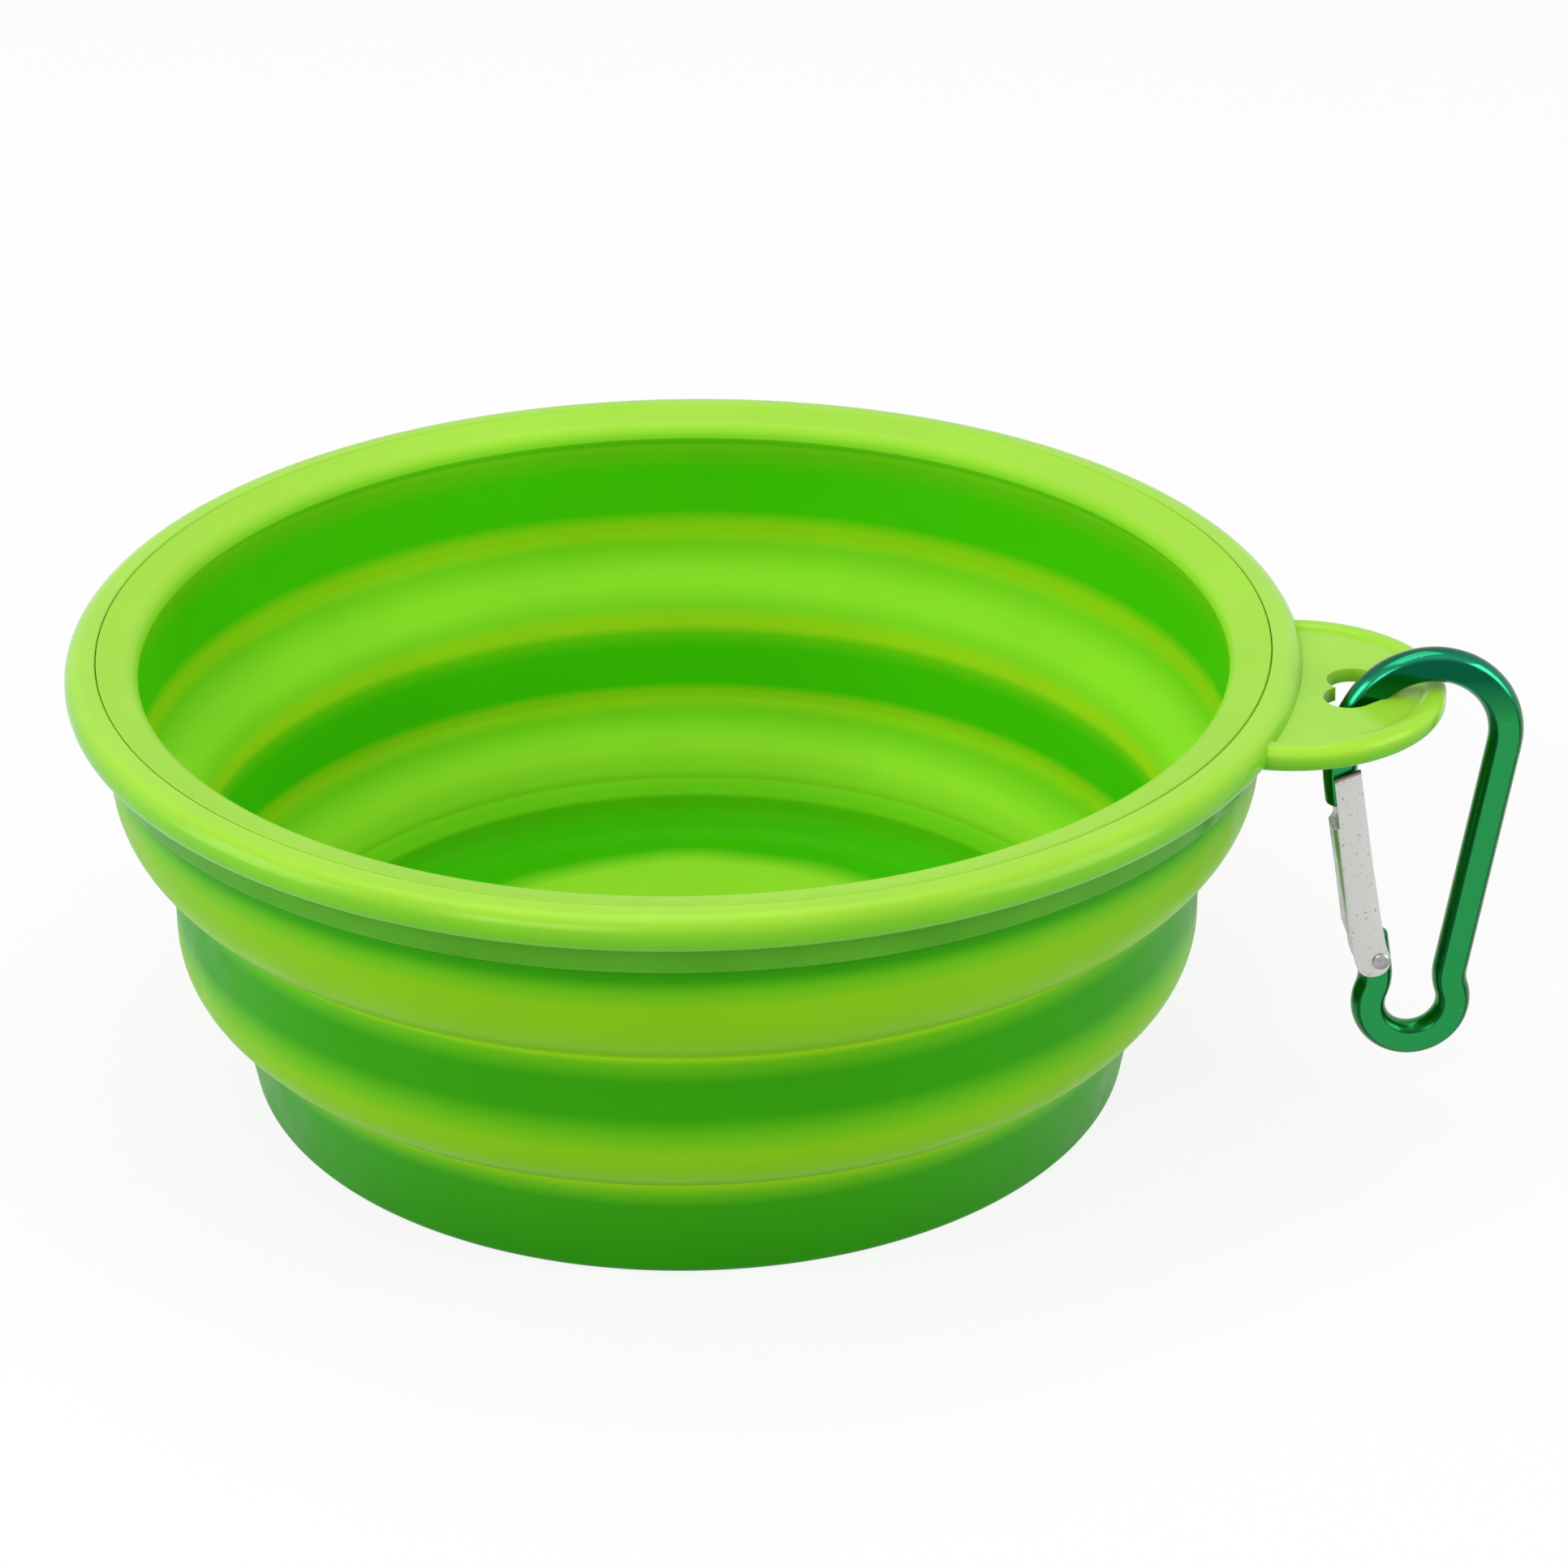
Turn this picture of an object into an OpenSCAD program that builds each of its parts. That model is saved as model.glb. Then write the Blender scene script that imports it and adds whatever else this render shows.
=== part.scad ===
/* [Bowl] */
// Diameter over the hard rim ring
rim_d = 130; // [110:1:150]
// Height of the open bowl, from its foot to the crest of the rim
bowl_h = 50; // [48:0.5:60]
// How far the base wall leans in, from its ridge down to the foot
foot_lean = 2; // [1.5:0.1:2.5]
// Radius round the edge of the foot
foot_edge_r = 1.2; // [0.6:0.1:1.6]
// Thickness of the floor
floor_t = 2; // [1.4:0.1:3]
// Radius between floor and wall, inside
floor_fillet_r = 4.5; // [3:0.5:5]

/* [Tiers] */
// Step in from the outside of the top band to that of the middle band
upper_step = 5.8; // [5.2:0.1:6.4]
// Step in from the outside of the middle band to that of the base band
lower_step = 5.4; // [5.2:0.1:6]
// Wall thickness of the three stiff bands
band_t = 2.4; // [2:0.1:2.6]
// Wall thickness of the two thin folds
fold_t = 1.3; // [1:0.1:1.6]
// Height at which the upper fold hangs from the top band
upper_hinge_z = 35.5; // [34.5:0.1:36]
// Height of the ridge on top of the middle band
upper_ridge_z = 29.7; // [29:0.1:30.5]
// Height at which the upper fold meets the middle band
upper_seat_z = 26; // [25:0.1:27]
// Height at which the lower fold hangs from the middle band
lower_hinge_z = 16.3; // [15.8:0.1:17]
// Height of the ridge on top of the base band
lower_ridge_z = 12.2; // [11.8:0.1:12.8]
// Height at which the lower fold meets the base band
lower_seat_z = 7.7; // [7:0.1:8.4]
// How high above a fold's hinge its wall starts to curve in
fold_lead_h = 2.4; // [1.5:0.1:3]

/* [Rim] */
// Width of the hard ring, from its edge to the seam with the soft lip
ring_w = 3.3; // [3.1:0.1:3.6]
// Width of the soft lip, from the seam to its inner edge
lip_w = 4.3; // [3.8:0.1:5]
// Width of the open seam
seam_w = 0.3; // [0.2:0.05:0.4]
// Height of the soft lip over the ring's channel
lip_t = 2.6; // [2.2:0.1:2.8]
// Fall of the lip towards its inner edge
lip_fall = 0.7; // [0.4:0.1:0.9]
// Radius on the inner edge of the lip
lip_edge_r = 0.9; // [0.6:0.1:1]
// Height of the hard ring
ring_h = 4.2; // [3.8:0.1:4.6]
// Radius on the upper outer edge of the ring
ring_top_r = 2.3; // [1.8:0.1:2.4]
// Radius on the lower outer edge of the ring
ring_low_r = 1.6; // [1.2:0.1:1.8]
// How far the soft flange reaches past the seam into the ring
flange_grip = 1.3; // [1:0.1:1.6]
// Thickness of that flange
flange_t = 1.4; // [1.1:0.1:1.5]
// How far the outside of the top band lies in from the seam
band_set = 0.8; // [0.5:0.1:1.2]
// Thickness of the clamp ring that holds the flange up from below
clamp_t = 1.65; // [1.4:0.05:1.9]
// How far the clamp ring shows below the hard ring
clamp_drop = 2.6; // [2:0.1:3]
// Gap left between the assembled rim pieces
fit_gap = 0.05; // [0.04:0.01:0.1]

/* [Lug] */
// Radius of the lug's round outline
lug_r = 15.7; // [14.5:0.1:16.5]
// How far the lug's centre lies inside the edge of the rim
lug_set = 0.8; // [0.4:0.1:1.6]
// Width of the raised bead round the lug
bead_w = 2.9; // [2.6:0.1:3.2]
// Height of the bead
bead_h = 3.5; // [3.2:0.1:3.7]
// How far the bead's top lies below the crest of the rim
lug_step = 0.1; // [0:0.05:0.5]
// Radius on the bead's edges
bead_edge_r = 1.2; // [0.9:0.1:1.4]
// Thickness of the flat web inside the bead
web_t = 1.4; // [1.2:0.1:1.6]
// How deep the web lies below the top of the bead
web_drop = 1.6; // [1.2:0.1:1.8]
// Radius of each lobe of the heart-shaped hole
heart_lobe_r = 2.7; // [2.65:0.05:2.8]
// Distance of each lobe's centre from the lug's middle line
heart_lobe_y = 2.3; // [2.25:0.05:2.4]
// Distance from the lug's centre out to the lobes' centres
heart_out = 5.6; // [5.5:0.1:5.8]
// Length of the heart from the lobes' centres to its tip
heart_tip_l = 4.8; // [4.7:0.1:4.9]
// Radius of the heart's tip
heart_tip_r = 1.3; // [1.2:0.1:1.4]

/* [Carabiner] */
// Diameter of the carabiner's rod
rod_d = 3.8; // [3.6:0.05:3.9]
// Thickness of the rod across its two pressed flats
rod_flat_t = 2.9; // [2.7:0.05:2.95]
// Radius of the large bend, to the middle of the rod
top_bend_r = 8.2; // [8.1:0.05:8.3]
// Radius of the small bend, to the middle of the rod
low_bend_r = 4.4; // [4.2:0.1:4.6]
// Distance between the centres of the two bends
bend_pitch = 31.4; // [31:0.1:32]
// Sideways offset of the small bend from the large one
bend_offset = 0.45; // [0.3:0.05:0.6]
// Slant of the spine, in degrees
spine_slant = 8.3; // [8:0.1:8.6]
// Slant of the gate, in degrees
gate_slant = 11.5; // [11:0.1:12]
// Radius of the waist above the small bend
waist_r = 5; // [4:0.1:6]
// How far the centre of the large bend lies inside the middle of the bead
hang_in = 0.95; // [0.75:0.05:1.15]
// Distance of that centre from the lug's middle line
hang_y = 0.2; // [0.1:0.05:0.3]
// Turn of the hanging carabiner from the lug's middle line, in degrees
hang_yaw = 14.5; // [13.5:0.5:15.5]
// Play between the rod and the top of the bead
hang_gap = 0.4; // [0.35:0.05:0.5]

/* [Gate] */
// Distance from the start of the rod's straight nose to the rivet
gate_l = 24.3; // [24:0.1:24.6]
// Length of the straight nose
nose_l = 6.4; // [6:0.1:6.8]
// Sheet thickness of the gate
sheet_t = 0.45; // [0.4:0.05:0.5]
// Depth of the gate's flanges
flange_w = 3.1; // [3:0.05:3.2]
// Distance from the rod's middle to the outer face of the gate's back
gate_back = 2.2; // [2.15:0.05:2.3]
// Play between the gate's flanges and the rod's flats, on each side
gate_play = 0.1; // [0.08:0.01:0.14]
// Distance from the rivet up to the gate's top edge
gate_top_l = 21.2; // [21:0.1:21.4]
// Distance from the rivet up to the top of the gate's back
back_top_l = 16.6; // [16.2:0.1:17]
// Distance from the rivet up to the bottom of the gate's back
back_low_l = 4.3; // [4.1:0.1:4.6]
// Distance from the rivet up to the end of the rod's tongue
tongue_l = 2.5; // [2.3:0.1:2.7]
// Diameter of the rivet
rivet_d = 1.4; // [1.2:0.05:1.5]
// Diameter of the rivet's heads
rivet_head_d = 2.1; // [2:0.05:2.2]
// Height of the rivet's heads
rivet_head_h = 0.35; // [0.3:0.05:0.4]
// Clearance round the rivet in the tongue
rivet_play = 0.04; // [0.03:0.01:0.06]
// Outer diameter of the gate's spring
spring_d = 2.2; // [2:0.1:2.3]
// Wire diameter of the spring
spring_wire_d = 0.35; // [0.3:0.05:0.4]
// Number of turns in the spring
spring_turns = 7; // [5:1:8]
// Length of the spring with the gate shut
spring_l = 5; // [4.6:0.1:5.2]

/* [Hidden] */

$fn = 96;
curve_steps = 8;
// Steps along the rod's bends and round its section
top_bend_steps = 26;
low_bend_steps = 26;
waist_steps = 6;
rod_round_steps = 6;
overrun = 1;
// Gap at each end of the spring, rings per turn and sides of its wire
spring_gap = 0.1;
spring_rings = 8;
spring_sides = 6;

lime = [0.56, 0.83, 0.22];
lime_ring = [0.62, 0.86, 0.27];
lime_clamp = [0.42, 0.66, 0.27];
anodised = [0.11, 0.48, 0.25];
sheet_steel = [0.72, 0.73, 0.71];

// Radii of the silicone wall, outside and inside
ring_out_r = rim_d / 2;
seam_r = ring_out_r - ring_w;
top_band_r = seam_r - band_set;
mid_band_r = top_band_r - upper_step;
base_band_r = mid_band_r - lower_step;
foot_r = base_band_r - foot_lean;
mid_bore_r = mid_band_r - band_t;
top_bore_r = top_band_r - band_t;
base_bore_r = base_band_r - band_t;

// Heights round the rim
ring_z0 = bowl_h - ring_h;
clamp_z0 = ring_z0 - clamp_drop;
lip_z0 = bowl_h - lip_t;
flange_z0 = lip_z0 - flange_t;
lip_bore_r = seam_r - lip_w;
lip_out_r = seam_r - seam_w / 2;
ring_in_r = seam_r + seam_w / 2;
flange_r = seam_r + flange_grip;
clamp_in_r = top_band_r + fit_gap;
clamp_r = clamp_in_r + clamp_t;

// How strongly the outer and the inner face of a fold bulge
outer_bulge_share = 0.68;
inner_bulge_share = 0.5;
// Where the inner crest of a fold lies between its seat and its hinge
crest_share = 0.22;

function quad(a, b, c, t) = (1 - t) * (1 - t) * a + 2 * t * (1 - t) * b + t * t * c;
function curve(a, b, c, n = curve_steps) = [for (i = [0 : n]) quad(a, b, c, i / n)];
function arc(centre, r, from, to, n = curve_steps) =
    [for (i = [0 : n]) centre + r * [cos(from + (to - from) * i / n), sin(from + (to - from) * i / n)]];

// A fold starts as a straight wall, curves in and ends at the ridge below it
function fold_outside(wall_r, ridge_r, hinge_z, ridge_z) =
    let (start = [wall_r, hinge_z + fold_lead_h], end = [ridge_r, ridge_z])
    curve(start, [wall_r, start[1] - outer_bulge_share * (start[1] - end[1])], end);

function fold_inside(wall_r, seat_r, hinge_z, ridge_z, seat_z) =
    let (crest = [seat_r + (wall_r - seat_r) * crest_share, ridge_z + fold_t / 2])
    concat(
        curve([wall_r, hinge_z], [wall_r, hinge_z - inner_bulge_share * (hinge_z - crest[1])], crest),
        curve(crest, [seat_r, crest[1] - fold_t], [seat_r, seat_z])
    );

// The base wall leans in towards the foot
base_outer_top = [base_band_r, lower_ridge_z];
base_bore_low_r = foot_r - band_t;

function silicone_outside() = concat(
    [[0, 0], [foot_r - foot_edge_r, 0]],
    arc([foot_r - foot_edge_r, foot_edge_r], foot_edge_r, -90, 0),
    [base_outer_top],
    [for (i = [curve_steps : -1 : 0])
        fold_outside(mid_band_r, base_band_r, lower_hinge_z, lower_ridge_z)[i]],
    [for (i = [curve_steps : -1 : 0])
        fold_outside(top_band_r, mid_band_r, upper_hinge_z, upper_ridge_z)[i]]
);

function silicone_inside() = concat(
    fold_inside(top_bore_r, mid_bore_r, upper_hinge_z, upper_ridge_z, upper_seat_z),
    fold_inside(mid_bore_r, base_bore_r, lower_hinge_z, lower_ridge_z, lower_seat_z),
    [for (p = arc([base_bore_low_r - floor_fillet_r, floor_t + floor_fillet_r],
                  floor_fillet_r, 0, -90)) p],
    [[0, floor_t]]
);

// Section of the lip, the captured flange and the upper wall
module lip_section() {
    lip_corner = [lip_bore_r + lip_edge_r, bowl_h - lip_fall - lip_edge_r];
    polygon(concat(
        [[top_band_r, flange_z0], [flange_r, flange_z0], [flange_r, lip_z0 - fit_gap],
         [lip_out_r, lip_z0 - fit_gap], [lip_out_r, bowl_h - seam_w], [lip_out_r - seam_w, bowl_h]],
        arc(lip_corner, lip_edge_r, 90, 180),
        [[lip_bore_r, lip_z0], [top_bore_r, lip_z0 - (top_bore_r - lip_bore_r)],
         [top_bore_r, flange_z0]]
    ));
}

module silicone_section() {
    polygon(concat(
        silicone_outside(),
        [[top_band_r, flange_z0], [top_bore_r, flange_z0]],
        silicone_inside()
    ));
    lip_section();
}

// One storey of the bowl, between two heights
module silicone_slice(low, high) {
    rotate_extrude()
        intersection() {
            silicone_section();
            translate([0, low])
                square([rim_d, high - low]);
        }
}

module base_cup() {
    color(lime)
        silicone_slice(0, lower_seat_z);
}

module lower_fold() {
    color(lime)
        silicone_slice(lower_seat_z, lower_hinge_z);
}

module middle_band() {
    color(lime)
        silicone_slice(lower_hinge_z, upper_seat_z);
}

module upper_fold() {
    color(lime)
        silicone_slice(upper_seat_z, upper_hinge_z);
}

module top_wall() {
    color(lime)
        silicone_slice(upper_hinge_z, bowl_h);
}

// Hard ring: a rounded nose outside, and a rebate inside that traps the flange
module ring_section() {
    polygon(concat(
        [[ring_in_r, lip_z0], [ring_in_r, bowl_h - seam_w], [ring_in_r + seam_w, bowl_h]],
        arc([ring_out_r - ring_top_r, bowl_h - ring_top_r], ring_top_r, 90, 0),
        arc([ring_out_r - ring_low_r, ring_z0 + ring_low_r], ring_low_r, 0, -90),
        [[flange_r + fit_gap, ring_z0], [flange_r + fit_gap, lip_z0]]
    ));
}

lug_x = ring_out_r - lug_set;
heart_x = lug_x + heart_out;
bead_x = lug_x + lug_r - bead_w / 2;
lug_z1 = bowl_h - lug_step;
lug_z0 = lug_z1 - bead_h;
web_z1 = lug_z1 - web_drop;
web_z0 = web_z1 - web_t;

// Straight lines that touch the lobe and the tip of the heart
function touch_angle() =
    let (dx = heart_tip_l - heart_tip_r, dy = -heart_lobe_y, d = norm([dx, dy]))
    atan2(dy, dx) + acos((heart_lobe_r - heart_tip_r) / d);

module heart() {
    a = touch_angle();
    tip = [heart_tip_l - heart_tip_r, 0];
    lobe = [0, heart_lobe_y];
    touch_lobe = lobe + heart_lobe_r * [cos(a), sin(a)];
    touch_tip = tip + heart_tip_r * [cos(a), sin(a)];
    translate([heart_x, 0]) {
        for (side = [-1, 1])
            translate([0, side * heart_lobe_y])
                circle(r = heart_lobe_r);
        translate(tip)
            circle(r = heart_tip_r);
        polygon([
            [0, -heart_lobe_y], [touch_lobe[0], -touch_lobe[1]], [touch_tip[0], -touch_tip[1]],
            touch_tip, touch_lobe, [0, heart_lobe_y]
        ]);
    }
}

module bead_section() {
    bead_in_r = lug_r - bead_w;
    polygon(concat(
        arc([lug_r - bead_edge_r, bead_h - bead_edge_r], bead_edge_r, 90, 0),
        arc([lug_r - bead_edge_r, bead_edge_r], bead_edge_r, 0, -90),
        arc([bead_in_r + bead_edge_r / 2, bead_edge_r / 2], bead_edge_r / 2, -90, -180),
        arc([bead_in_r + bead_edge_r, bead_h - bead_edge_r], bead_edge_r, 180, 90)
    ));
}

// Lug: a thin web with a heart-shaped hole and a rounded bead round its edge
module lug() {
    difference() {
        union() {
            translate([lug_x, 0, web_z0])
                cylinder(r = lug_r - bead_w / 2, h = web_t);
            translate([lug_x, 0, lug_z0])
                rotate_extrude()
                    bead_section();
        }
        translate([0, 0, ring_z0 - overrun - bead_h])
            cylinder(r = ring_out_r - ring_low_r, h = ring_h + bead_h + 2 * overrun);
        translate([0, 0, lug_z0 - overrun])
            linear_extrude(bead_h + 2 * overrun)
                heart();
    }
}

module rim_ring() {
    color(lime_ring) {
        rotate_extrude()
            ring_section();
        lug();
    }
}

// Clamp ring: sits round the top band and holds the flange up in the ring
module clamp_ring() {
    color(lime_clamp)
        rotate_extrude()
            polygon([
                [clamp_in_r, clamp_z0], [clamp_r - seam_w, clamp_z0],
                [clamp_r, clamp_z0 + seam_w], [clamp_r, flange_z0], [clamp_in_r, flange_z0]
            ]);
}

// Carabiner, drawn in its own plane: x points away from the bowl, y up,
// with the centre of the large bend at the origin
hang_x = bead_x - hang_in;
hang_z = lug_z1 + hang_gap - top_bend_r + rod_d / 2;
low_centre = [bend_offset, -bend_pitch];
spine_top = top_bend_r * [cos(spine_slant), -sin(spine_slant)];
spine_dir = [-sin(spine_slant), -cos(spine_slant)];
gate_dir = [sin(gate_slant), -cos(gate_slant)];
nose_top = top_bend_r * [-cos(gate_slant), -sin(gate_slant)];
rivet_at = nose_top + gate_l * gate_dir;

// Centre of a waist bend that touches a straight line and the small bend from outside
function waist_centre(from, dir, out) =
    let (
        base = from + waist_r * out,
        rel = base - low_centre,
        b = rel * dir,
        c = rel * rel - pow(low_bend_r + waist_r, 2)
    )
    base + (-b - sqrt(b * b - c)) * dir;

spine_out = [cos(spine_slant), -sin(spine_slant)];
gate_out = [-cos(gate_slant), -sin(gate_slant)];
spine_waist = waist_centre(spine_top, spine_dir, spine_out);
gate_waist = waist_centre(nose_top, gate_dir, gate_out);

function heading(p) = atan2(p[1], p[0]);

// Rings of points joined into one closed tube, first ring to last
module tube(rings) {
    sides = len(rings[0]);
    last = (len(rings) - 1) * sides;
    walls = [for (i = [0 : len(rings) - 2]) for (j = [0 : sides - 1])
        let (k = (j + 1) % sides, a = i * sides, b = a + sides)
        for (f = [[a + j, b + j, b + k], [a + j, b + k, a + k]]) f];
    ends = concat(
        [for (j = [1 : sides - 2]) [0, j, j + 1]],
        [for (j = [1 : sides - 2]) [last, last + j + 1, last + j]]
    );
    polyhedron([for (r = rings) for (p = r) p], concat(walls, ends));
}

// Middle line of the rod as [x, y, heading]: a straight length is its two ends
function bend_path(centre, r, from, to, n) =
    let (turn = to > from ? 90 : -90)
    [for (i = [0 : n]) let (a = from + (to - from) * i / n)
        [centre[0] + r * cos(a), centre[1] + r * sin(a), a + turn]];

function rod_path() =
    let (
        up = 90 + gate_slant,
        nose = nose_top + nose_l * gate_dir,
        tongue = rivet_at - tongue_l * gate_dir,
        low_from = heading(spine_waist - low_centre),
        low_to = heading(gate_waist - low_centre) - 360
    )
    concat(
        [[nose[0], nose[1], up]],
        bend_path([0, 0], top_bend_r, 180 + gate_slant, -spine_slant, top_bend_steps),
        bend_path(spine_waist, waist_r, 180 - spine_slant, low_from + 180, waist_steps),
        [for (i = [1 : low_bend_steps])
            bend_path(low_centre, low_bend_r, low_from, low_to, low_bend_steps)[i]],
        [for (i = [1 : waist_steps])
            bend_path(gate_waist, waist_r, low_to + 180, gate_slant, waist_steps)[i]],
        [[tongue[0], tongue[1], up]]
    );

// Round rod with its two sides pressed flat
function rod_outline() =
    let (corner = asin(rod_flat_t / rod_d))
    concat(
        arc([0, 0], rod_d / 2, -corner, corner, rod_round_steps),
        arc([0, 0], rod_d / 2, 180 - corner, 180 + corner, rod_round_steps)
    );

module rod() {
    tube([for (p = rod_path()) [for (q = rod_outline())
        [p[0] - q[0] * sin(p[2]), p[1] + q[0] * cos(p[2]), q[1]]]]);
}

// Puts what is drawn in the carabiner's plane where it hangs from the lug
module hang() {
    translate([hang_x, hang_y, hang_z])
        rotate([90, 0, hang_yaw])
            children();
}

// Frame of the gate: origin on the rivet, x out of the loop, y up the gate
module at_gate() {
    translate([rivet_at[0], rivet_at[1], 0])
        rotate([0, 0, gate_slant])
            children();
}

module carabiner_body() {
    gap_in = rod_flat_t + 2 * gate_play;
    trim = gate_back - sheet_t - gate_play;
    color(anodised)
        hang()
            difference() {
                rod();
                at_gate() {
                    translate([-trim - rod_d, -flange_w, -gap_in / 2])
                        cube([rod_d, gate_top_l + flange_w, gap_in]);
                    cylinder(d = rivet_d + 2 * rivet_play, h = rod_d + overrun, center = true);
                }
            }
}

// Outline of one flange, seen from the side
module gate_outline() {
    half = flange_w / 2;
    translate([half - gate_back, 0])
        circle(r = half);
    translate([-gate_back, 0])
        square([flange_w, gate_top_l]);
}

module carabiner_gate() {
    gap_in = rod_flat_t + 2 * gate_play;
    gate_w = gap_in + 2 * sheet_t;
    tab_y = tongue_l + spring_gap + spring_l + spring_gap;
    color(sheet_steel)
        hang()
            at_gate() {
                difference() {
                    translate([0, 0, -gate_w / 2])
                        linear_extrude(gate_w)
                            gate_outline();
                    translate([sheet_t - gate_back, -gate_back, -gap_in / 2])
                        cube([flange_w, gate_top_l + gate_back + overrun, gap_in]);
                    translate([-gate_back - overrun, back_top_l, -gap_in / 2])
                        cube([flange_w, gate_top_l, gap_in]);
                    translate([-gate_back - overrun, back_low_l - gate_top_l, -gap_in / 2])
                        cube([flange_w, gate_top_l, gap_in]);
                    cylinder(d = rivet_d, h = gate_w + overrun, center = true);
                }
                translate([sheet_t - gate_back, tab_y, -gap_in / 2])
                    cube([spring_d, sheet_t, gap_in]);
            }
}

module gate_rivet() {
    gate_w = rod_flat_t + 2 * gate_play + 2 * sheet_t;
    color(sheet_steel)
        hang()
            at_gate() {
                cylinder(d = rivet_d, h = gate_w, center = true);
                for (side = [0, 1])
                    mirror([0, 0, side])
                        translate([0, 0, gate_w / 2])
                            cylinder(d1 = rivet_head_d, d2 = rivet_d, h = rivet_head_h);
            }
}

// A wire wound into a helix round the y axis
module helix(coil_r, wire_r, length, turns) {
    steps = turns * spring_rings;
    tube([for (i = [0 : steps]) [for (j = [0 : spring_sides - 1])
        let (a = 360 * i / spring_rings, b = 360 * j / spring_sides, r = coil_r + wire_r * cos(b))
        [r * cos(a), length * i / steps + wire_r * sin(b), r * sin(a)]]]);
}

module gate_spring() {
    wire_r = spring_wire_d / 2;
    color(sheet_steel)
        hang()
            at_gate()
                translate([sheet_t - gate_back + spring_d / 2 + spring_gap,
                           tongue_l + spring_gap + wire_r, 0])
                    helix(spring_d / 2 - wire_r, wire_r, spring_l - spring_wire_d, spring_turns);
}

base_cup();
lower_fold();
middle_band();
upper_fold();
top_wall();
rim_ring();
clamp_ring();
carabiner_body();
carabiner_gate();
gate_rivet();
gate_spring();
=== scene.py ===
# %% [markdown]
# # A folding silicone bowl with a snap hook
# The bowl is one soft silicone moulding whose stepped wall folds flat. A hard plastic ring
# stiffens its mouth and carries a lug, and a small green carabiner hangs from the lug.
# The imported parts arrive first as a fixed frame. Everything that is soft, folded from sheet
# or highly polished is then modelled over them, because those need smooth, rounded meshes.

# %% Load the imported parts
import math

import bpy
from mathutils import Matrix, Vector


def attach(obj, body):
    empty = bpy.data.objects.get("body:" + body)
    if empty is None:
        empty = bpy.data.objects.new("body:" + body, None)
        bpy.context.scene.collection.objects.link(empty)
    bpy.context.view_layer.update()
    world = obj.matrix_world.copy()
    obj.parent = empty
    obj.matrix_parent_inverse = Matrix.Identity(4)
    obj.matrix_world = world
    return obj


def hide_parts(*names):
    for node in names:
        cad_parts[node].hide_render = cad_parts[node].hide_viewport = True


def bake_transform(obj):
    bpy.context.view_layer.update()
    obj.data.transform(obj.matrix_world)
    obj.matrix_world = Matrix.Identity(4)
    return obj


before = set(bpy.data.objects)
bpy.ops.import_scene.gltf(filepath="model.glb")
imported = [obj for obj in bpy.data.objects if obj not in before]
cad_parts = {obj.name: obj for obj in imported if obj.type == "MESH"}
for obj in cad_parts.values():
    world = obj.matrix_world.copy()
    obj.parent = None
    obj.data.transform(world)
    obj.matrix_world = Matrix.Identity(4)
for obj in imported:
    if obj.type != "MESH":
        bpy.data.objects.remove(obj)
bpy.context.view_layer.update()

MM = 0.001
print("parts:", ", ".join(sorted(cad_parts)))

# %% [markdown]
# ## The camera
# A long lens from about half a metre away keeps the ellipses of the bowl calm. The camera
# looks down by 25 degrees at the middle of the rim. Lens shift then slides the picture
# sideways without turning the camera, as a view camera does, and a slight roll matches
# the tilt of the original.

# %% Place the camera
IMAGE_SIDE = 1932
RIM_CENTRE = Vector((0, 0, 49.3 * MM))
CAMERA_DISTANCE = 457.36 * MM
CAMERA_AZIMUTH = math.radians(-77.5)
CAMERA_ELEVATION = math.radians(25.06)
CAMERA_ROLL = math.radians(-0.84)
FOCAL_PIXELS = 5333.7
TARGET_PIXEL = (841.65, 776.48)

camera_data = bpy.data.cameras.new("camera")
camera = bpy.data.objects.new("camera", camera_data)
bpy.context.scene.collection.objects.link(camera)
bpy.context.scene.camera = camera
camera_data.sensor_width = 36
camera_data.lens = camera_data.sensor_width * FOCAL_PIXELS / IMAGE_SIDE
camera_data.shift_x = (IMAGE_SIDE / 2 - TARGET_PIXEL[0]) / IMAGE_SIDE
camera_data.shift_y = -(IMAGE_SIDE / 2 - TARGET_PIXEL[1]) / IMAGE_SIDE
towards_camera = Vector((
    math.cos(CAMERA_ELEVATION) * math.cos(CAMERA_AZIMUTH),
    math.cos(CAMERA_ELEVATION) * math.sin(CAMERA_AZIMUTH),
    math.sin(CAMERA_ELEVATION),
))
camera.location = RIM_CENTRE + CAMERA_DISTANCE * towards_camera
camera.rotation_mode = "QUATERNION"
aim = (-towards_camera).to_track_quat("-Z", "Y").to_matrix()
camera.rotation_quaternion = (aim @ Matrix.Rotation(CAMERA_ROLL, 3, "Z")).to_quaternion()
print("lens", round(camera_data.lens, 1), "mm")

# %% [markdown]
# ## Finishes
# A finish is a small node tree. A picture wrapped round a piece would do as well, but a
# procedural finish needs no file, shows no seam and stays sharp in a close view. Each one
# here starts from the same shader, and what is the same all over the piece is typed on the
# shader's own sockets.

# %% Start a finish
def new_finish(name, colour, roughness, specular=0.5, metallic=0.0):
    finish = bpy.data.materials.new(name)
    finish.use_nodes = True
    shader = finish.node_tree.nodes["Principled BSDF"]
    shader.inputs["Base Color"].default_value = (*colour, 1)
    shader.inputs["Roughness"].default_value = roughness
    shader.inputs["Specular IOR Level"].default_value = specular
    shader.inputs["Metallic"].default_value = metallic
    return finish, finish.node_tree, shader


def add_node(tree, kind, **sockets):
    node = tree.nodes.new(kind)
    for name, value in sockets.items():
        node.inputs[name.replace("_", " ")].default_value = value
    return node


print(len(bpy.data.materials), "finishes came with the frame")

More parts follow.
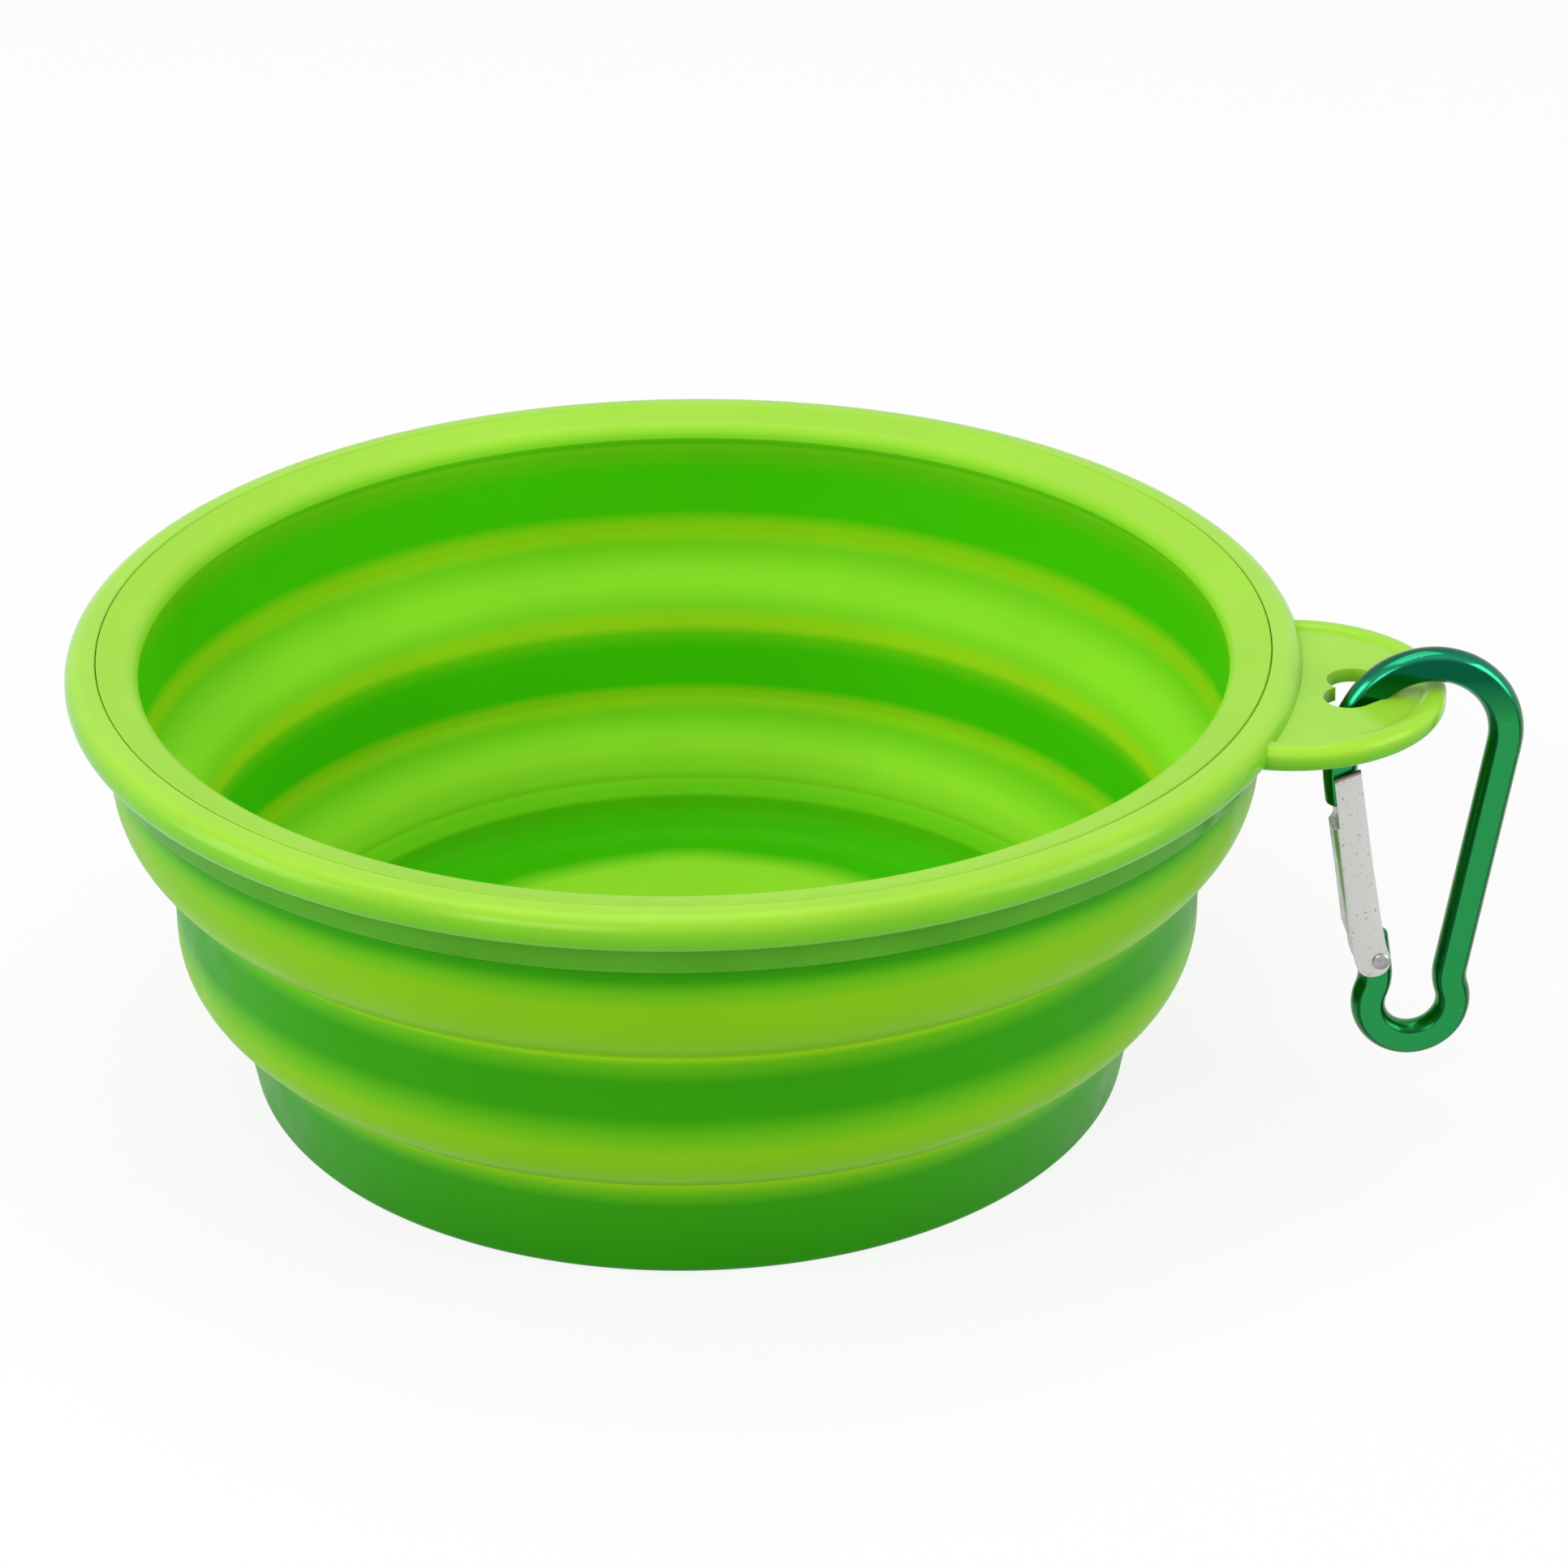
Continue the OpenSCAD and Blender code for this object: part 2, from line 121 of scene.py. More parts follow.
# %% [markdown]
# Nothing real has one flat number all over. Cloudy noise, fixed to the piece by its Object
# coordinates, lets a colour drift and a shine come and go. Most of its values lie in the
# middle of its range, so that middle is what gets spread over the wanted numbers. A
# narrower middle gives patches with harder edges.

# %% Vary a number
GRAIN_LOW, GRAIN_HIGH = 0.3, 0.7
PATCH_LOW, PATCH_HIGH = 0.35, 0.65


def maths(tree, operation, first, second):
    """Works on two values; each is a number or an output."""
    node = tree.nodes.new("ShaderNodeMath")
    node.operation = operation
    for socket, item in zip(node.inputs, (first, second)):
        if isinstance(item, float):
            socket.default_value = item
        else:
            tree.links.new(item, socket)
    return node.outputs[0]


def grain(tree, scale, detail=3.0, rough=0.5):
    """Cloudy noise fixed to the piece, as an output between 0 and 1."""
    place = tree.nodes.new("ShaderNodeTexCoord")
    noise = add_node(tree, "ShaderNodeTexNoise", Scale=scale, Detail=detail, Roughness=rough)
    tree.links.new(place.outputs["Object"], noise.inputs["Vector"])
    return noise.outputs["Fac"]


def spread(tree, value, low, high, to_low, to_high):
    """Maps a range of values to another."""
    node = add_node(tree, "ShaderNodeMapRange")
    for socket, number in zip(("From Min", "From Max", "To Min", "To Max"),
                              (low, high, to_low, to_high)):
        node.inputs[socket].default_value = number
    tree.links.new(value, node.inputs["Value"])
    return node.outputs["Result"]


print("most of the grain lies between", GRAIN_LOW, "and", GRAIN_HIGH)

# %% [markdown]
# Such a number can mix two colours or pick one from a whole row of them, which is a ramp.
# It can also serve as a height that dents the surface a little without any new faces,
# which is a bump.

# %% Mix colours and add a bump
def blend_colours(tree, factor, first, second, mode="MIX"):
    """Mixes two colours; each is a tuple or an output."""
    node = tree.nodes.new("ShaderNodeMix")
    node.data_type, node.blend_type = "RGBA", mode
    for socket, item in ((0, factor), (6, first), (7, second)):
        if isinstance(item, tuple):
            node.inputs[socket].default_value = (*item, 1)
        elif isinstance(item, float):
            node.inputs[socket].default_value = item
        else:
            tree.links.new(item, node.inputs[socket])
    return node.outputs[2]


def colour_ramp(tree, value, stops, top):
    """A colour for each height; a value of 1 stands for the top."""
    node = tree.nodes.new("ShaderNodeValToRGB")
    ends = node.color_ramp.elements
    while len(ends) < len(stops):
        ends.new(0.5)
    for end, (place, colour) in zip(ends, stops):
        end.position = place / top
        end.color = (*colour, 1)
    tree.links.new(value, node.inputs["Fac"])
    return node.outputs["Color"]


def add_bump(tree, shader, height, depth, strength=1.0):
    node = add_node(tree, "ShaderNodeBump", Strength=strength, Distance=depth)
    tree.links.new(height, node.inputs["Height"])
    tree.links.new(node.outputs["Normal"], shader.inputs["Normal"])

# %% [markdown]
# Some finishes have to know where on the piece they are, such as how high on the wall or
# how near the edge of a rod. A mesh can carry such a note at each vertex, as an attribute,
# and the note goes with the mesh when it bends or moves.

# %% Read a note from the mesh
def noted(tree, name):
    """Reads a note that the mesh carries."""
    node = tree.nodes.new("ShaderNodeAttribute")
    node.attribute_name = name
    return node


def noted_parts(tree, name):
    """Reads a note of several numbers and parts them."""
    parts = tree.nodes.new("ShaderNodeSeparateColor")
    tree.links.new(noted(tree, name).outputs["Color"], parts.inputs["Color"])
    return parts.outputs

# %% [markdown]
# ## Silicone
# Silicone lets light through. Where the wall is thick it is a deep green, partly painted
# shade under the lip and the clamp; where the folds are thin it is yellow, partly painted
# light that comes through. Faces that look up are painted a paler lime, as painted light
# from above, with a painted pool of light on the upper seat inside; light lines are painted
# along the ridges and hinges of the folds, and shadow is painted at the foot. All of this
# stays fixed on the wall when the bowl folds. So the mesh carries the place of each vertex
# on the wall, and two colour ramps, one for the outer face and one for the inner, read it.
# First come the tones by name, then the heights in millimetres at which the wall takes each
# of them.

# %% Name the tones and place them along the wall
WALL_H = 50.0
# painted shadow at the foot and on the underside of the bowl
PAINTED_FOOT_SHADOW = (0.022, 0.25, 0.003)
# deep green of the thick outer wall, also painted shade under the clamp and on upright faces
DEEP_OUT_AND_SHADE = (0.030, 0.29, 0.003)
# deep green of the thick inner wall, also painted shade under the lip and in the floor's corner
DEEP_IN_AND_SHADE = (0.060, 0.54, 0.002)
GREEN = (0.110, 0.42, 0.007)
MOSS = (0.10, 0.54, 0.004)
FERN = (0.14, 0.52, 0.006)
LEAF = (0.16, 0.59, 0.007)
# lime of the silicone; on the faces that look up it also stands for painted light
LIME = (0.255, 0.70, 0.020)
# pale lime of the lip, painted lighter on top as light from above
PALE_AND_TOP_LIGHT = (0.34, 0.66, 0.055)
# yellow of the thin folds, partly painted light coming through them
THIN_YELLOW_AND_LIGHT = (0.19, 0.46, 0.008)
# painted light lines along the ridges and hinges of the folds
PAINTED_LIGHT_LINE = (0.30, 0.62, 0.008)
# painted pool of light on the upper seat inside
PAINTED_SEAT_LIGHT = (0.40, 0.70, 0.012)
# painted light on faces that look up: the floor and the lower fold inside
PAINTED_UP_LIGHT = (0.37, 0.79, 0.035)
OUTSIDE_STOPS = [
    (0.0, PAINTED_FOOT_SHADOW), (9.0, DEEP_OUT_AND_SHADE), (10.6, GREEN), (12.0, PAINTED_LIGHT_LINE), (12.7, PAINTED_LIGHT_LINE), (13.6, THIN_YELLOW_AND_LIGHT),
    (18.6, THIN_YELLOW_AND_LIGHT), (20.4, GREEN), (22.8, DEEP_OUT_AND_SHADE), (26.8, DEEP_OUT_AND_SHADE), (28.8, GREEN),
    (29.6, PAINTED_LIGHT_LINE), (30.6, PAINTED_LIGHT_LINE), (32.0, THIN_YELLOW_AND_LIGHT), (38.4, THIN_YELLOW_AND_LIGHT), (40.0, GREEN),
    (41.4, DEEP_OUT_AND_SHADE), (46.0, DEEP_OUT_AND_SHADE), (47.5, LIME), (WALL_H, PALE_AND_TOP_LIGHT),
]
INSIDE_STOPS = [
    (0.0, PAINTED_UP_LIGHT), (1.83, PAINTED_UP_LIGHT), (1.95, DEEP_IN_AND_SHADE), (3.5, DEEP_IN_AND_SHADE), (5.4, MOSS), (7.3, LEAF),
    (8.8, PAINTED_UP_LIGHT), (11.6, PAINTED_UP_LIGHT), (13.0, LIME), (14.5, LEAF), (15.8, PAINTED_LIGHT_LINE), (16.7, PAINTED_LIGHT_LINE),
    (17.8, DEEP_IN_AND_SHADE), (22.6, DEEP_IN_AND_SHADE), (24.4, LEAF), (25.4, PAINTED_SEAT_LIGHT), (26.6, PAINTED_SEAT_LIGHT),
    (27.8, LIME), (31.4, LIME), (33.7, LEAF), (35.0, PAINTED_LIGHT_LINE), (36.1, PAINTED_LIGHT_LINE), (37.8, DEEP_IN_AND_SHADE),
    (43.0, DEEP_IN_AND_SHADE), (45.5, FERN), (47.3, LIME), (49.0, PALE_AND_TOP_LIGHT), (WALL_H, PALE_AND_TOP_LIGHT),
]
print(len(OUTSIDE_STOPS), "tones outside,", len(INSIDE_STOPS), "inside")

# %% [markdown]
# Besides those tones, a soft cloudy noise makes the colour uneven, as in any coloured
# silicone. The shine is low and green, because most of the light goes in and comes out
# again coloured.

# %% Finish the silicone
silicone, tree, shader = new_finish("silicone", (0.3, 0.7, 0.05), 0.36, specular=0.08)
shader.inputs["Specular Tint"].default_value = (0.6, 1.0, 0.2, 1)
note = noted_parts(tree, "wall_place")
drift = spread(tree, grain(tree, 30.0, 2.0), GRAIN_LOW, GRAIN_HIGH, -0.0015, 0.0015)
height = maths(tree, "ADD", note["Red"], drift)
# the two ramps give the wall's own tones together with painted light and painted shade
wall = blend_colours(tree, note["Green"], colour_ramp(tree, height, OUTSIDE_STOPS, WALL_H),
                     colour_ramp(tree, height, INSIDE_STOPS, WALL_H))
cloud = blend_colours(tree, spread(tree, grain(tree, 45.0, 2.0), GRAIN_LOW, GRAIN_HIGH, 0.0, 1.0),
                      (0.93, 0.93, 0.93), (1.0, 1.0, 1.0))
tree.links.new(blend_colours(tree, 1.0, wall, cloud, "MULTIPLY"), shader.inputs["Base Color"])
tree.links.new(spread(tree, grain(tree, 220.0), GRAIN_LOW, GRAIN_HIGH, 0.32, 0.42),
               shader.inputs["Roughness"])
add_bump(tree, shader, grain(tree, 900.0, 2.0), 0.02 * MM, 0.3)
print("silicone finish ready")

# %% [markdown]
# ## The shape of the folding wall
# The wall is a stack of three stiff bands, each narrower than the one above, joined by two
# thin folds. It could be put together from rings of faces, but its mould is turned, and so
# it is drawn as a turner draws it: one line on a half plane, spun about the axis. The sizes
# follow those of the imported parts, in millimetres.

# %% Sizes of the wall
FOOT_R, BASE_R, MID_R, TOP_R = 47.7, 49.7, 55.1, 60.9
BAND_T, FOLD_T, FLOOR_T = 2.4, 1.3, 2.0
UPPER = {"hinge": 35.5, "ridge": 29.7, "seat": 26.0}
LOWER = {"hinge": 16.3, "ridge": 12.2, "seat": 7.7}
FOLD_LEAD = 2.4
OUTER_BULGE, INNER_BULGE, CREST = 0.68, 0.5, 0.22
FOOT_EDGE_R, FLOOR_FILLET_R = 1.2, 4.5
RIM_TOP, LIP_Z0, FLANGE_Z0 = WALL_H, 47.4, 46.5
LIP_R, LIP_OUT_R, FLANGE_R = 57.4, 61.66, 63.0
LIP_FALL, LIP_EDGE_R, SEAM_CUT = 0.7, 1.6, 0.15
SPLIT_Z = 21.5
FLOOR_RINGS = (36, 30, 24, 0)
print("bands of", BAND_T, "mm, folds of", FOLD_T, "mm")

# %% [markdown]
# The line is made of straight lengths, arcs and bends. A bend leaves its first point and
# arrives at its last one in line with a third point between them, so that bands and folds
# join without a kink. A fold hangs as a ridge from the band above and rises again inside
# to its seat on the band below.

# %% Draw arcs, bends and folds
def arc_points(centre, radius, start, end, steps):
    """Points of an arc in a plane, angles in degrees."""
    turn = [math.radians(start + (end - start) * i / steps) for i in range(steps + 1)]
    return [(centre[0] + radius * math.cos(a), centre[1] + radius * math.sin(a)) for a in turn]


def bend_curve(a, b, c, steps=14):
    """A smooth bend from a to c that leaves and arrives in line with b."""
    share = [i / steps for i in range(steps + 1)]
    return [tuple((1 - t) ** 2 * p + 2 * t * (1 - t) * q + t * t * r
                  for p, q, r in zip(a, b, c)) for t in share]


def fold_outside(wall_r, ridge_r, heights):
    """Outer face of a fold, from the ridge up to the straight wall."""
    top = (wall_r, heights["hinge"] + FOLD_LEAD)
    ridge = (ridge_r, heights["ridge"])
    bulge = (wall_r, top[1] - OUTER_BULGE * (top[1] - ridge[1]))
    return bend_curve(ridge, bulge, top)


def fold_inside(wall_r, seat_r, heights):
    """Inner face of a fold, from the straight wall down over the crest to the seat."""
    crest = (seat_r + (wall_r - seat_r) * CREST, heights["ridge"] + FOLD_T / 2)
    hinge = (wall_r, heights["hinge"])
    upper = bend_curve(hinge, (wall_r, hinge[1] - INNER_BULGE * (hinge[1] - crest[1])), crest)
    lower = bend_curve(crest, (seat_r, crest[1] - FOLD_T), (seat_r, heights["seat"]))
    return upper + lower[1:]


print("a quarter turn in 6 steps has", len(arc_points((0, 0), 1.0, 0, 90, 6)), "points")

# %% [markdown]
# The whole section is four lines: the outer and the inner face of the lower half, and the
# same of the upper half with the lip and the flange that the hard ring grips.

# %% Draw the four lines
outer_low = ([(0, 0), (FOOT_R - FOOT_EDGE_R, 0)]
             + arc_points((FOOT_R - FOOT_EDGE_R, FOOT_EDGE_R), FOOT_EDGE_R, -90, 0, 6)
             + fold_outside(MID_R, BASE_R, LOWER) + [(MID_R, SPLIT_Z)])
inner_low = ([(MID_R - BAND_T, SPLIT_Z)]
             + fold_inside(MID_R - BAND_T, BASE_R - BAND_T, LOWER)
             + arc_points((FOOT_R - BAND_T - FLOOR_FILLET_R, FLOOR_T + FLOOR_FILLET_R),
                          FLOOR_FILLET_R, 0, -90, 10)
             + [(r, FLOOR_T) for r in FLOOR_RINGS])
outer_high = ([(MID_R, SPLIT_Z)] + fold_outside(TOP_R, MID_R, UPPER)
              + [(TOP_R, FLANGE_Z0), (FLANGE_R, FLANGE_Z0), (FLANGE_R, LIP_Z0),
                 (LIP_OUT_R, LIP_Z0), (LIP_OUT_R, RIM_TOP - SEAM_CUT), (LIP_OUT_R - SEAM_CUT, RIM_TOP)])
inner_high = (arc_points((LIP_R + LIP_EDGE_R, RIM_TOP - LIP_FALL - LIP_EDGE_R),
                         LIP_EDGE_R, 90, 180, 12)
              + [(LIP_R, LIP_Z0), (TOP_R - BAND_T, LIP_Z0 - (TOP_R - BAND_T - LIP_R))]
              + fold_inside(TOP_R - BAND_T, MID_R - BAND_T, UPPER)
              + [(MID_R - BAND_T, SPLIT_Z)])
print("profile points:", len(outer_low) + len(inner_low) + len(outer_high) + len(inner_high))

# %% [markdown]
# Blender's operators act on whatever is selected, so each step starts by clearing the
# selection. A line is drawn the way it is drawn by hand: one vertex is set down and
# extruded from corner to corner. Moulds have no knife edges, so each sharp corner of the
# line first gets a small radius.

# %% Turn a list of points into a mesh
MERGE = 0.002 * MM
CREASE_R = 0.45


def work_on(obj):
    bpy.ops.object.select_all(action="DESELECT")
    obj.select_set(True)
    bpy.context.view_layer.objects.active = obj


def draw_wire(name, points):
    """Sets down one vertex and extrudes it from point to point."""
    bpy.ops.object.select_all(action="DESELECT")
    bpy.ops.mesh.primitive_plane_add(size=1 * MM, location=(0, 0, 0))
    wire = bpy.context.object
    wire.name = wire.data.name = name
    bpy.ops.object.mode_set(mode="EDIT")
    bpy.ops.mesh.select_mode(type="VERT")
    bpy.ops.mesh.select_all(action="SELECT")
    bpy.ops.mesh.merge(type="CENTER")
    bpy.ops.transform.translate(value=points[0])
    for start, end in zip(points, points[1:]):
        bpy.ops.mesh.extrude_vertices_move(
            TRANSFORM_OT_translate={"value": Vector(end) - Vector(start)})
    bpy.ops.mesh.select_all(action="SELECT")
    bpy.ops.mesh.remove_doubles(threshold=MERGE)
    return wire


def tidy_shell(obj, crease=35):
    """Joins doubles, points all faces outwards and shades smooth except at creases."""
    bpy.ops.object.mode_set(mode="EDIT")
    bpy.ops.mesh.select_all(action="SELECT")
    bpy.ops.mesh.remove_doubles(threshold=MERGE)
    bpy.ops.mesh.normals_make_consistent(inside=False)
    bpy.ops.object.mode_set(mode="OBJECT")
    work_on(obj)
    bpy.ops.object.shade_smooth_by_angle(angle=math.radians(crease))


def ease_corners(points, radius, sharpest=14, steps=4):
    """Rounds each corner of an open line that turns by more than a few degrees."""
    eased = [points[0]]
    for before, corner, after in zip(points, points[1:], points[2:]):
        arrive, leave = Vector(corner) - Vector(before), Vector(after) - Vector(corner)
        if arrive.length < 1e-6 or leave.length < 1e-6:
            continue
        if math.degrees(arrive.angle(leave)) < sharpest:
            eased.append(corner)
            continue
        cut = min(radius, 0.45 * arrive.length, 0.45 * leave.length)
        eased += bend_curve(tuple(Vector(corner) - cut * arrive.normalized()), corner,
                            tuple(Vector(corner) + cut * leave.normalized()), steps)
    return eased + [points[-1]]


print("easing takes", len(outer_high), "points to", len(ease_corners(outer_high, CREASE_R)))

# %% [markdown]
# The line is spun in many small steps, so that the rim stays round even in a close view.
# Two meshes are made, cut through the plain middle band where nothing shows: each then
# spans just one fold.

# %% Spin the two halves of the bowl
SPIN_STEPS = 240


def spin_profile(name, points, closed):
    """Draws points given as (radius, height) in millimetres and spins them round the axis."""
    line = [(r * MM, 0, z * MM) for r, z in points]
    shape = draw_wire(name, line + line[:1] if closed else line)
    bpy.ops.mesh.spin(steps=SPIN_STEPS, angle=2 * math.pi, center=(0, 0, 0), axis=(0, 0, 1))
    tidy_shell(shape)
    return shape


bowl_lower = spin_profile(
    "bowl_lower", ease_corners(outer_low, CREASE_R) + ease_corners(inner_low, CREASE_R), False)
bowl_upper = spin_profile(
    "bowl_upper", ease_corners(outer_high, CREASE_R) + ease_corners(inner_high, CREASE_R), True)
for shell in (bowl_lower, bowl_upper):
    print(shell.name, len(shell.data.polygons), "faces")

# %% [markdown]
# Each vertex now notes its height on the wall, as a share of 50 mm, and whether it lies on
# the inner face. On the flat floor the note counts the way in from the wall instead, so the
# floor takes painted light in its middle and painted shade at its edge. Blender spreads
# such a note smoothly over the faces between.

# %% Note the place on the wall
FOOT_BAND, FLOOR_SKIN, FLOOR_LEVEL, FLOOR_FADE = 1.0, 0.2, 0.01, 0.05
FLAT_R = FOOT_R - BAND_T - FLOOR_FILLET_R


def radius_at(points, z):
    """Radius of an open profile at a height."""
    line = sorted((p[1], p[0]) for p in points)
    for (z0, r0), (z1, r1) in zip(line, line[1:]):
        if z0 <= z <= z1:
            return r0 + (r1 - r0) * (z - z0) / max(z1 - z0, 1e-9)
    return line[-1][1] if z > line[-1][0] else line[0][1]


def note_place(shell, outer, inner):
    layer = shell.data.attributes.new("wall_place", "FLOAT_COLOR", "POINT")
    for vertex, entry in zip(shell.data.vertices, layer.data):
        r, z = Vector(vertex.co[:2]).length / MM, vertex.co.z / MM
        middle = (radius_at(outer, z) + radius_at(inner, z)) / 2
        above_floor = z > FLOOR_T + FLOOR_SKIN or r > BASE_R - BAND_T
        outside = z < FOOT_BAND or (r > middle and above_floor)
        if not outside and z < FLOOR_T + FLOOR_LEVEL:
            # the floor's note falls towards the middle, where the ramp paints light on it
            z -= FLOOR_FADE * max(0.0, FLAT_R - r)
        entry.color = (max(z, 0.0) / RIM_TOP, 0.0 if outside else 1.0, 0.0, 1.0)
    shell.data.materials.append(silicone)


note_place(bowl_lower, outer_low[1:], inner_low[:-1])
note_place(bowl_upper, outer_high, inner_high)
print("noted", len(bowl_lower.data.vertices) + len(bowl_upper.data.vertices), "places")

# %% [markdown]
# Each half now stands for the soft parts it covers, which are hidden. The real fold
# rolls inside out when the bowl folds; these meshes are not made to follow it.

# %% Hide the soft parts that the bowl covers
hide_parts("base_cup", "lower_fold")
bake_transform(bowl_lower)
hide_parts("middle_band", "upper_fold", "top_wall")
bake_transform(bowl_upper)

# %% [markdown]
# ## The hard ring and its lug
# A hard plastic ring grips the soft rim, and a second ring snaps in below it, painted a
# darker green as shade from the ring above. Both are round, so both are spun like the bowl.
# The lug is spun too, round an axis of its own: a thin web with a cord-like bead round its
# edge. It rises a little towards its tip.

# %% Spin the rings and the lug
RING_IN_R, RING_CUT, RING_BORE_R, RING_LOW, STEP_Z = 61.74, 0.18, 63.05, 46.3, 47.45
NOSE_TOP_C, NOSE_TOP_R = (63.0, 48.0), 2.0
NOSE_LOW_C, NOSE_LOW_R = (63.6, 47.7), 1.4
CLAMP_IN_R, CLAMP_OUT_R, CLAMP_LOW, CLAMP_TOP, CLAMP_EDGE_R = 61.0, 62.6, 43.2, 46.45, 0.25
LUG_CENTRE, LUG_R, LUG_RISE = Vector((63.8, 0, 46.2)), 16.0, 2.1
WEB_LOW, WEB_TOP, BEAD_TOP = 0.8, 2.3, 2.8
BEAD_W, BEAD_FOOT_R, BEAD_EDGE_R, BEAD_CREST, BEAD_INNER_R = 2.4, 0.5, 1.1, 1.5, 1.0

ring = spin_profile("ring", [(RING_IN_R, STEP_Z), (RING_IN_R, RIM_TOP - SEAM_CUT),
                             (RING_IN_R + RING_CUT, RIM_TOP)]
                    + arc_points(NOSE_TOP_C, NOSE_TOP_R, 90, 0, 14)
                    + arc_points(NOSE_LOW_C, NOSE_LOW_R, 0, -90, 10)
                    + [(RING_BORE_R, RING_LOW), (RING_BORE_R, STEP_Z)], True)
clamp_side = CLAMP_OUT_R - CLAMP_EDGE_R
clamp = spin_profile("clamp", [(CLAMP_IN_R, CLAMP_LOW), (clamp_side, CLAMP_LOW)]
                     + arc_points((clamp_side, CLAMP_LOW + CLAMP_EDGE_R), CLAMP_EDGE_R, -90, 0, 4)
                     + [(CLAMP_OUT_R, CLAMP_TOP), (CLAMP_IN_R, CLAMP_TOP)], True)
bead_side = LUG_R - BEAD_EDGE_R
lug = spin_profile("lug", [(0, WEB_LOW), (LUG_R - BEAD_W, WEB_LOW)]
                   + arc_points((LUG_R - BEAD_W + BEAD_FOOT_R, BEAD_FOOT_R), BEAD_FOOT_R, 180, 270, 4)
                   + arc_points((bead_side, BEAD_EDGE_R), BEAD_EDGE_R, -90, 0, 8)
                   + arc_points((bead_side, BEAD_TOP - BEAD_EDGE_R), BEAD_EDGE_R, 0, 90, 8)
                   + arc_points((LUG_R - BEAD_CREST, BEAD_TOP - BEAD_INNER_R), BEAD_INNER_R, 90, 150, 5)
                   + [(0, WEB_TOP)], False)
for piece in (ring, clamp, lug):
    print(piece.name, len(piece.data.polygons), "faces")

# %% [markdown]
# Three small tools come first. One writes a piece's place into its mesh, because every
# finished piece stays at the origin. One takes a shape away with a Boolean modifier, and
# one rounds the edges that such a cut leaves sharp, as a mould would.

# %% Place, cut and soften
def place_mesh(obj, matrix):
    """Puts a piece where it belongs and writes that place into its mesh."""
    obj.matrix_world = matrix
    work_on(obj)
    bpy.ops.object.transform_apply(location=True, rotation=True, scale=True)


def take_away(obj, cutter):
    work_on(obj)
    cut = obj.modifiers.new("cut", "BOOLEAN")
    cut.operation, cut.object, cut.solver = "DIFFERENCE", cutter, "EXACT"
    bpy.ops.object.modifier_apply(modifier=cut.name)
    bpy.data.objects.remove(cutter)


def soften(obj, width, limit=40, segments=3):
    work_on(obj)
    edge = obj.modifiers.new("soft edges", "BEVEL")
    edge.width, edge.segments, edge.angle_limit = width * MM, segments, math.radians(limit)
    edge.limit_method = "ANGLE"
    bpy.ops.object.modifier_apply(modifier=edge.name)

# %% [markdown]
# The heart is two round lobes and a round tip. Its outline is worked out from their radii,
# drawn, filled and pushed up into a cutter. A plain drum then cuts the lug off where it
# meets the ring. Faces could be deleted by hand instead, but the Boolean keeps the round
# bead and the flat web whole up to the cut.

# %% Cut the heart
LOBE_R, LOBE_Y, TIP_L, TIP_R, HEART_X = 2.6, 2.1, 5.0, 1.4, 6.3
CUTTER_LOW, CUTTER_H = -1, 6
DRUM_R, DRUM_H, DRUM_Z = 63.7, 20, 47
LUG_EDGE = 0.35

slope = (math.degrees(math.atan2(-LOBE_Y, TIP_L - TIP_R))
         + math.degrees(math.acos((LOBE_R - TIP_R) / math.hypot(TIP_L - TIP_R, LOBE_Y))))
cusp = math.degrees(math.acos(-LOBE_Y / LOBE_R))
lobe = arc_points((HEART_X, LOBE_Y), LOBE_R, slope, 90 + cusp, 24)
tip = arc_points((HEART_X + TIP_L - TIP_R, 0), TIP_R, -slope, slope, 10)
outline = tip + lobe[:-1] + [(x, -y) for x, y in reversed(lobe)]
heart = draw_wire("heart", [(x * MM, y * MM, CUTTER_LOW * MM) for x, y in outline + outline[:1]])
bpy.ops.mesh.edge_face_add()
bpy.ops.mesh.extrude_region_move(TRANSFORM_OT_translate={"value": (0, 0, CUTTER_H * MM)})
tidy_shell(heart)
lug_place = (Matrix.Translation(LUG_CENTRE * MM)
             @ Matrix.Rotation(math.radians(-LUG_RISE), 4, "Y"))
place_mesh(heart, lug_place)
place_mesh(lug, lug_place)
take_away(lug, heart)
bpy.ops.mesh.primitive_cylinder_add(vertices=360, radius=DRUM_R * MM, depth=DRUM_H * MM,
                                    location=(0, 0, DRUM_Z * MM))
take_away(lug, bpy.context.object)
soften(lug, LUG_EDGE, 55)
tidy_shell(lug, crease=30)
print("lug with its heart", len(lug.data.polygons), "faces")

# %% [markdown]
# The ring and the lug are painted palest on top and a fuller green low on their sides,
# as painted light from above and painted shade below. So the ring and the lug note how far
# up each vertex lies, each in its own plane, before they become one piece.

# %% Note the tone and join the lug to the ring
# heights over which the ring and the lug go from painted shade low to painted light on top
RING_PAINTED_SHADE, LUG_PAINTED_SHADE = (46.0, RIM_TOP), (0.0, 2.1)
for piece, plane, (low, high) in ((ring, Matrix.Identity(4), RING_PAINTED_SHADE),
                                  (lug, lug_place, LUG_PAINTED_SHADE)):
    layer = piece.data.attributes.new("rim_painted_shade", "FLOAT", "POINT")
    for vertex, entry in zip(piece.data.vertices, layer.data):
        up = (plane.inverted() @ vertex.co).z / MM
        entry.value = min(1.0, max(0.0, (up - low) / (high - low)))
work_on(ring)
lug.select_set(True)
bpy.ops.object.join()
print("ring and lug", len(ring.data.polygons), "faces")

# %% [markdown]
# The ring is a glossier, harder plastic, moulded in nearly the same lime. The thin clamp
# ring that snaps in below it is painted a darker green, as shade from the ring above.

